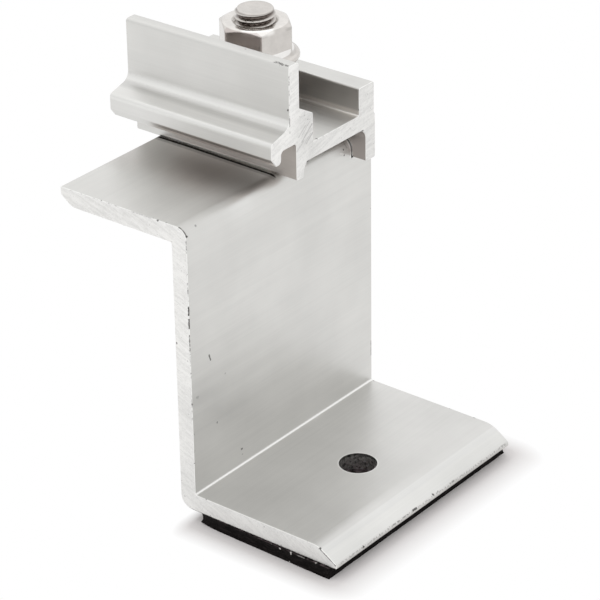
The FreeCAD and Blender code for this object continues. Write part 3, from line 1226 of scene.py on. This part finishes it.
WEB_EDGE_NICKS = (
    Mark((-17.7, -28, 60.8), (-17.7, -28, 48.8), 0.3, 0.55, 1.6),
    Mark((-17.7, -28, 46.5), (-17.7, -28, 44.9), 0.42, 0.9),
    Mark((-17.7, -28, 43.9), (-17.7, -28, 42.1), 0.42, 0.9),
    Mark((-17.7, -28, 40.6), (-17.7, -28, 36.6), 0.28, 0.75),
    Mark((-17.7, -28, 36), (-17.7, -28, 20), 0.24, 0.45, 2),
    Mark((-20.97, -28, 37.98), width=0.5, strength=0.8),
)
WEB_NICKS = (
    Mark((-17.7, -22.66, 34.15), (-17.7, -22.25, 32.89), 0.4, 0.7),
    Mark((-17.7, -18.11, 28.08), width=0.45, strength=0.3),
    Mark((-17.7, -26.36, 26.67), width=0.8, strength=0.25),
    Mark((-17.7, -27.86, 25.81), width=0.5, strength=0.6),
    Mark((-17.7, -20.91, 18.69), width=0.42, strength=0.55),
    Mark((-17.7, -13.82, 9.45), width=0.6, strength=0.8),
    Mark((-17.7, -13.7, 8.2), width=0.45, strength=0.3),
)
TOP_NICKS_AND_PAINTED_SHADE = (
    Mark((-19.53, -27.73, 62.28), (-18.46, -27.64, 61.64), 0.36, 0.75, ragged=0.5),
    Mark((-18.46, -27.64, 61.64), (-17.93, -27.55, 60.87), 0.36, 0.75, ragged=0.5),
    Mark((-47.8, -28, 62.4), (-39.2, -28, 62.4), 0.22, 0.3, 1.2),
    Mark((-38.3, -27.95, 62.4), width=0.5, strength=0.6),
    Mark((-37, -28, 62.4), (-30.8, -28, 62.4), 0.24, 0.4, 1.5),
    Mark((-30.8, -28, 62.4), (-26, -28, 62.4), 0.26, 0.5, ragged=0.6),
    Mark((-17.93, -27.55, 60.87), width=0.6, strength=0.85),
    Mark((-24.48, -27.94, 62.34), width=0.55, strength=0.75),
    Mark((-18.46, -24.38, 61.62), width=0.5, strength=0.4),
    # Painted shadow: a dark line where the clamp's foot meets the top flange, and a softer painted
    # shade in front of it.
    Mark((-48.3, -0.1, 62.4), (-40, -0.04, 62.4), 0.84, 1, ragged=0.25),
    Mark((-40, -0.04, 62.4), (-17.6, -0.38, 62.4), 0.84, 1, ragged=0.25),
    Mark((-48.3, -0.7, 62.4), (-17.8, -0.9, 62.4), 1.3, 0.3, ragged=0.3),
    Mark((-17.9, 19.25, 60.75), width=0.42, strength=0.8),
    Mark((-17.7, 19.2, 59.65), width=0.42, strength=0.8),
    Mark((-18.5, 20.2, 61.7), (-17.95, 20.3, 60.9), 0.5, 0.25),
)
TIP_NICKS = (
    # A dark ragged strip along the front cut's lowest edge, where it meets the pad.
    Mark((-21, -28, 2.4), (16.1, -28, 2.4), 0.42, 0.9, ragged=0.6),
    Mark((12.41, -27.9, 5.66), width=0.55, strength=0.85),
    Mark((12.41, -28, 5.45), (16.07, -28, 3.2), 0.22, 0.7),
    Mark((16.15, -27, 3.1), (16.15, 27.5, 3.2), 0.5, 0.32, 0.45),
    Mark((16.1, -19.59, 3.13), width=0.6, strength=0.85),
    Mark((16.1, -14.5, 3.2), width=0.5, strength=0.45),
    Mark((16.1, -10.14, 3.2), (16.1, -5.53, 3.2), 0.34, 0.55, 0.7),
    Mark((16.1, -3.92, 3.21), (16.1, -2.83, 3.2), 0.5, 0.8),
    Mark((16, 2.71, 3.45), width=0.6, strength=0.8),
    Mark((16, 4.3, 3.38), width=0.5, strength=0.4),
    Mark((16.1, 8.14, 3.32), (16.1, 9.78, 3.32), 0.45, 0.5, 0.8),
    Mark((2, 28, 6), width=0.5, strength=0.6),
    Mark((8, 28, 6), width=0.6, strength=0.7),
    Mark((-17.7, 27.75, 15), (-17.7, 27.75, 11.8), 0.3, 0.35),
)
BRACKET_PAINTED_HIGHLIGHTS = (
    # Painted highlight along the inner fillet between the web and the bottom flange.
    Mark((-17.45, -28, 6.22), (-17.45, 28, 6.22), 0.46, 0.9, ragged=0.15),
    # Painted highlights on the burr of the sawn step by the hook.
    Mark((-18.6, 21.25, 61.75), (-17.95, 21.25, 60.9), 0.5, 0.9),
    Mark((-17.95, 21.3, 60.9), (-17.7, 21.35, 58.6), 0.5, 0.9),
    Mark((-18, 20.5, 61), (-17.7, 20.55, 59.2), 0.4, 0.7, 0.5),
    Mark((-17.8, 18.2, 60.4), (-17.7, 19, 60), 0.4, 0.5),
)
BRACKET_ZONES = (
    # Painted shade on the bottom flange's top face.
    Zone((-17.4, -29, 5), (17, 29, 7), (0.96, 0.96, 0.965)),
    # Painted highlight on the chamfer at the flange's tip.
    Zone((12.5, -29, 3.3), (17, 29, 5.85), (1.075, 1.08, 1.085)),
    # Painted shade low down at the front of the bottom flange, and at its tip towards the back.
    Zone((-14, -32, 0), (17, -14, 12), (0.965, 0.965, 0.965), 6),
    Zone((13.5, 8, 0), (20, 32, 9), (0.965, 0.965, 0.965), 6),
    Zone((-23, -29, 1), (18, -27.5, 11), (0.94, 0.94, 0.94), 1, sawn=True),
    Zone((-23, -32, 6), (-12, -20, 28), (0.94, 0.94, 0.94), 8, sawn=True),
    # Painted shadow on the top flange in front of the clamp's foot, deepest in its middle.
    Zone((-52, -14, 50), (-25, 5, 75), (0.945, 0.925, 0.92), 6, 8),
    Zone((-37, -10, 50), (-24, 5, 75), (0.89, 0.875, 0.87), 6, 8),
    # Painted light on the top flange's rounded corner, softening the edge of that shadow.
    Zone((-22, -16, 59), (-16.5, -8, 65), (1.08, 1.085, 1.09), 4),
)
CLAMP_NICKS_AND_PAINTED_SHADE = (
    Mark((-17.8, -1.25, 86.28), (-16, -1.35, 86.2), 0.75, 0.75, 0.28),
    Mark((-17.6, -1.2, 86.3), (-16, -1.3, 86.25), 0.5, 0.35),
    Mark((-15.3, -1.35, 86.2), (-14.7, -1.35, 86.2), 0.45, 0.6),
    Mark((-25.9, 0.1, 86.3), width=0.4, strength=0.5),
    Mark((-14.55, -1.75, 77.61), width=0.5, strength=0.85),
    Mark((-14.45, 6.57, 68.75), width=0.45, strength=0.7),
    Mark((-14.2, -1.72, 85.6), (-14.2, -1.72, 73), 0.26, 0.5, 1),
    # Painted shadow along the lower edge of the slab's sawn end, over the gap above the bracket.
    Mark((-14.2, 3.3, 65.3), (-14.2, 20.7, 65.3), 0.34, 0.8, ragged=0.2),
    Mark((-14.2, 2.45, 63.6), (-14.2, 3.3, 65.3), 0.3, 0.6, ragged=0.2),
    Mark((-14.2, 1.1, 75.2), (-14.2, 2.7, 75), 0.4, 0.25, 0.6),
    Mark((-14.2, 3.6, 73.9), (-14.2, 4.6, 73.7), 0.3, 0.35, 0.5),
    Mark((-14.2, 4.9, 72.5), (-14.2, 1.8, 69.9), 0.36, 0.24, ragged=0.7),
    Mark((-14.2, 2.9, 72.8), (-14.2, 0.8, 71.2), 0.34, 0.18, ragged=0.7),
    Mark((-14.2, 5, 70.6), (-14.2, 3.1, 69.1), 0.34, 0.24, ragged=0.7),
    Mark((-14.2, 4.2, 73.2), (-14.2, 1.9, 71.3), 0.28, 0.16, ragged=0.7),
    Mark((-14.2, 4.4, 70.7), (-14.2, 2.6, 69.2), 0.26, 0.18, ragged=0.7),
    Mark((-14.2, 2.5, 70), (-14.2, 0.2, 68.4), 0.3, 0.15, ragged=0.7),
)
CLAMP_PAINTED_HIGHLIGHTS = (
    # Painted highlights along the lip's front edge and along the neck above the lip.
    Mark((-54, -6.95, 72), (-14.2, -6.95, 72), 1.2, 0.35, ragged=0.2),
    Mark((-54, -2.1, 74.5), (-14.2, -1.95, 74.8), 1.65, 0.5, ragged=0.2),
    # Painted highlights on the hook's face, beside the gap at the step.
    Mark((-18.5, 21.65, 61.8), (-17.95, 21.65, 60.95), 0.5, 0.9, ragged=0.3),
    Mark((-17.95, 21.65, 60.95), (-17.6, 21.65, 58.3), 0.5, 0.9, ragged=0.3),
)
CLAMP_ZONES = (
    # Painted shade inside the channel, above its floor.
    Zone((-56, 5.3, 69), (-13, 19.62, 74.3), (0.78, 0.745, 0.73)),
    # Painted light on the channel's floor.
    Zone((-56, 5.3, 67.5), (-13, 19.5, 68.95), (1.11, 1.11, 1.11)),
    # Painted shade over the fillet's highlight at the channel's far end.
    Zone((-56, 18.3, 68.5), (-26, 19.5, 69.3), (0.62, 0.6, 0.59), 0.12, 14),
    # Painted highlight widening the fillet's bright band towards the near end.
    Zone((-30, 19.3, 68.8), (-8, 19.8, 69.8), (1.5, 1.48, 1.47), 0.5, 12),
    # Painted shade on the hook's face under the slab.
    Zone((-56, 19.5, 58), (-12, 21.95, 65.7), (0.62, 0.57, 0.56), 0.4),
    # Painted light on the foot's lower front edge, over its dark reflection.
    Zone((-46, -0.5, 61.9), (-20, 1, 63.15), (1.8, 1.78, 1.76), 0.4, 3),
    # Painted shade, warm, on the foot's front and under the lip, deepest at the near end.
    Zone((-44.5, -5.5, 60), (-12, 2, 70.5), (0.89, 0.85, 0.84), 2, 5),
    Zone((-19.5, -5.5, 60), (-12, 2, 70.5), (0.94, 0.925, 0.915), 2, 5),
    # Painted shade on the neck, below its painted highlight.
    Zone((-56, -4.4, 72.2), (-12, -2.25, 74.05), (0.86, 0.86, 0.86), 0.8),
    # Painted light on the lip's top and front.
    Zone((-56, -7.6, 69.35), (-12, -2.6, 75.5), (1.07, 1.07, 1.075), 0.5),
    # Painted light on the lip's lower bevel, over its dark reflection.
    Zone((-42.5, -7.4, 67.3), (-12, -5.75, 68.5), (1.2, 1.13, 1.11), 0.2, 6),
    # Painted shade: a dark line along the top of the lip's bevel.
    Zone((-42.5, -7.4, 68.4), (-12, -6.45, 69.35), (0.58, 0.54, 0.53), 0.25, 4),
    Zone((-15, 21, 57), (-14, 26, 65), (0.97, 0.97, 0.97), 0.5, sawn=True),
    Zone((-16, -1, 67), (-12, 6.5, 75), (0.94, 0.94, 0.94), 3, sawn=True),
)
# Painted shade on the nut's left faces, and a painted highlight on its top face at the front.
STEEL_PAINTED_LIGHT_ZONES = (
    Zone((-35.6, 4, 78.5), (-28, 7.6, 86.2), (0.86, 0.815, 0.82), 0.1),
    Zone((-32, 6, 85.5), (-27, 10.5, 86.6), (1.35, 1.38, 1.4), 0.6),
)
# Painted highlight on the flange's cone by the hexagon, painted shade just outside it and under
# the flange's rim, a painted highlight on the top face by the bore, and painted shade on the top
# chamfer.
STEEL_PAINTED_LIGHT_RINGS = (
    Zone((6.5, -1, 80.1), (7.3, 1, 81.3), (1.42, 1.46, 1.5), 0.15),
    Zone((7.3, -1, 79), (7.75, 1, 81.3), (0.93, 0.93, 0.93), 0.1),
    Zone((7.8, -1, 78), (9, 1, 79.15), (0.66, 0.64, 0.62), 0.25),
    Zone((4.6, -1, 86.2), (6.4, 1, 86.6), (1.19, 1.2, 1.21), 0.1),
    Zone((6.85, -1, 85.2), (7.7, 1, 85.75), (0.86, 0.86, 0.86), 0.2),
)
PAD_CHIPS = (
    Mark((3.1, -28.35, 2.15), width=0.5, strength=1),
    Mark((5.75, -28.4, 2.4), (5.7, -28.4, 1.95), 0.42, 1),
    Mark((5.3, -28.4, 0.15), width=0.4, strength=0.7),
    Mark((7.4, -28.45, 2.4), (8.9, -28.45, 2.4), 0.4, 0.35),
    Mark((11.7, -28.4, 2.4), width=0.5, strength=0.6),
    Mark((1, -28.4, 2.4), width=0.45, strength=0.3),
)


@dataclass(frozen=True)
class Extrusions:
    """The two sawn aluminium lengths, which keep the frame's own solids."""

    bracket: MillAluminium = MillAluminium(
        name="bracket_aluminium", axis=Axis.Y, middle=0.0, half_length=28.0, saw_slope=0.55,
        cut_middle=-19.5, cut_reach=(3.0, 8.0), cut_fall=0.97, hole_radius=3.75,
        nicks_and_painted_shade=WEB_EDGE_NICKS + WEB_NICKS + TOP_NICKS_AND_PAINTED_SHADE + TIP_NICKS,
        painted_highlights=BRACKET_PAINTED_HIGHLIGHTS, zones=BRACKET_ZONES,
    )
    clamp: MillAluminium = MillAluminium(
        name="clamp_aluminium", axis=Axis.X, middle=-34.1, half_length=19.9, saw_slope=-0.28,
        cut_middle=-3.5, cut_reach=(2.0, 8.0), cut_fall=0.92,
        nicks_and_painted_shade=CLAMP_NICKS_AND_PAINTED_SHADE, painted_highlights=CLAMP_PAINTED_HIGHLIGHTS, zones=CLAMP_ZONES,
    )

    def build(self) -> None:
        """Dress both nodes."""
        for node, finish in (("z_bracket", self.bracket), ("clamp_profile", self.clamp)):
            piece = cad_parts[node]
            piece.material_slots[0].material = finish.made()
            report(piece)


@dataclass(frozen=True)
class Studio:
    """White floor and surroundings, one soft lamp and the camera.

    Attributes:
        camera_place: the camera, in metres.
        camera_right: its right-hand direction.
        camera_up: its upward direction.
        lens: focal length in millimetres on a 36 mm frame.
        ambient: light from all round.
        dim_side: level direction of the room's darker side.
        dim_level: brightness of that side, low down, in reflections.
        floor_half_side: half the floor's side, in metres.
        floor_drop: how far it lies under the object, in metres.
        footprint: half sides of what stands on the floor, in metres.
        footprint_middle: how far its middle lies along X.
        shadow_reach: widths of its shadow beside the tip, beside the web and at the ends.
        shadow_core: share of those widths that is all shadow.
        paper: the floor's colour in the shadow.
        lamp_place: where the lamp hangs, in metres.
        lamp_aim: what it points at.
        lamp_width: side of its square panel, in metres.
        lamp_power: its power in watts.
    """

    camera_place: Place = (0.285509, -0.374845, 0.291193)
    camera_right: Place = (0.78579, 0.61835, -0.01340)
    camera_up: Place = (-0.2799, 0.37485, 0.88382)
    lens: float = 170.05
    ambient: float = 1.0
    dim_side: tuple[float, float] = (-0.62, -0.78)
    dim_level: float = 0.82
    floor_half_side: float = 3.0
    floor_drop: float = 2e-5
    footprint: tuple[float, float] = (0.0160, 0.0286)
    footprint_middle: float = -0.0011
    shadow_reach: tuple[float, float, float] = (0.0085, 0.0035, 0.0060)
    shadow_core: float = 0.25
    paper: Tone = (0.76, 0.735, 0.73)
    lamp_place: Place = (-0.4, 0.5, 1.6)
    lamp_aim: Place = (0.0, 0.0, 0.03)
    lamp_width: float = 3.0
    lamp_power: float = 4.2

    def surroundings(self) -> None:
        """White to the eye, and nearly so in reflections and on dull surfaces."""
        world = bpy.data.worlds.new("studio_surroundings")
        bpy.context.scene.world = world
        world.use_nodes = True
        graph = NodeGraph(world.node_tree)
        output = graph.add("ShaderNodeOutputWorld")
        back = graph.add("ShaderNodeBackground")
        back.inputs["Color"].default_value = WHITE
        x, y, z = graph.split(graph.add("ShaderNodeTexCoord").outputs["Generated"])
        towards = graph.scaled(x, self.dim_side[0], graph.times(y, self.dim_side[1]))
        side = graph.spread(towards, 0.35, 0.85, smooth=True)
        low = graph.spread(z, 0.15, 0.40, 1.0, 0.0, smooth=True)
        room = graph.spread(graph.times(side, low), 0.0, 1.0, self.ambient, self.dim_level)
        path = graph.add("ShaderNodeLightPath").outputs
        seen = graph.most(path["Is Camera Ray"], path["Is Transmission Ray"])
        graph.feed(back.inputs["Strength"], graph.most(room, seen))
        graph.feed(output.inputs["Surface"], back.outputs[0])
        world.cycles.sampling_method = "NONE"

    def floor(self) -> None:
        """Pale floor that stays white but keeps a soft shadow near the object."""
        data = bpy.data.meshes.new("studio_floor")
        side, low = self.floor_half_side, -self.floor_drop
        corners = [(side * x, side * y, low) for x, y in ((-1, -1), (1, -1), (1, 1), (-1, 1))]
        data.from_pydata(corners, [], [(0, 1, 2, 3)])
        floor = linked("studio_floor", data)
        material = bpy.data.materials.new("floor_paper")
        material.use_nodes = True
        graph = NodeGraph(material.node_tree)
        output = graph.add("ShaderNodeOutputMaterial")
        paper = graph.add("ShaderNodeBsdfDiffuse")
        paper.inputs["Color"].default_value = (*self.paper, 1.0)
        glow = graph.add("ShaderNodeEmission")
        glow.inputs["Color"].default_value = WHITE
        glow.inputs["Strength"].default_value = 1.0
        x, y, _ = graph.split(graph.add("ShaderNodeTexCoord").outputs["Object"])
        off_middle = graph.minus(x, self.footprint_middle)
        past = []
        for place, half, reach in (
            (off_middle, self.footprint[0], self.shadow_reach[0]),
            (graph.times(off_middle, -1.0), self.footprint[0], self.shadow_reach[1]),
            (graph.maths("ABSOLUTE", y), self.footprint[1], self.shadow_reach[2]),
        ):
            past.append(graph.maths("DIVIDE", graph.minus(place, half), reach))
        beside = graph.most(graph.most(past[0], past[1]), 0.0)
        away = graph.hypot(beside, graph.most(past[2], 0.0))
        path = graph.add("ShaderNodeLightPath").outputs
        seen = graph.most(path["Is Camera Ray"], path["Is Glossy Ray"])
        seen = graph.most(seen, path["Is Transmission Ray"])
        mixed = graph.add("ShaderNodeMixShader")
        graph.feed(mixed.inputs[0], graph.times(graph.spread(away, self.shadow_core, 1.0), seen))
        graph.feed(mixed.inputs[1], paper.outputs[0])
        graph.feed(mixed.inputs[2], glow.outputs[0])
        graph.feed(output.inputs["Surface"], mixed.outputs[0])
        material.cycles.emission_sampling = "NONE"
        data.materials.append(material)

    def lamp(self) -> None:
        """Hang a soft square lamp above the object, out of the camera's sight."""
        data = bpy.data.lights.new("top_softbox", "AREA")
        data.shape = "SQUARE"
        data.size = self.lamp_width
        data.energy = self.lamp_power
        lamp = linked("top_softbox", data)
        lamp.location = self.lamp_place
        look = Vector(self.lamp_aim) - Vector(self.lamp_place)
        lamp.rotation_euler = look.to_track_quat("-Z", "Y").to_euler()
        lamp.visible_camera = False

    def camera(self) -> None:
        """Stand the camera where the photograph was taken from."""
        data = bpy.data.cameras.new("view_camera")
        data.lens = self.lens
        data.sensor_width = 36.0
        data.clip_start = 0.05
        data.clip_end = 20.0
        camera = linked("view_camera", data)
        right = Vector(self.camera_right).normalized()
        up = Vector(self.camera_up).normalized()
        back = right.cross(up).normalized()
        up = back.cross(right).normalized()
        turn = Matrix((right, up, back)).transposed().to_4x4()
        camera.matrix_world = Matrix.Translation(Vector(self.camera_place)) @ turn
        bpy.context.scene.camera = camera

    def build(self) -> None:
        """Set up surroundings, floor, lamp and camera."""
        self.surroundings()
        self.floor()
        self.lamp()
        self.camera()
        bpy.context.scene.view_settings.view_transform = "Standard"


def main() -> None:
    """Dress the frame, add the detailed pieces and set up the studio."""
    logging.basicConfig(level=logging.INFO, format="%(name)s: %(message)s")
    Extrusions().build()
    steel = StainlessSteel("stainless_steel_bright", zones=STEEL_PAINTED_LIGHT_ZONES, rings=STEEL_PAINTED_LIGHT_RINGS)
    ClampFastener().build(steel.made())
    RubberPad().build(BlackRubber("black_rubber_cut", chips=PAD_CHIPS).made())
    Studio().build()


if __name__ == "__main__":
    main()
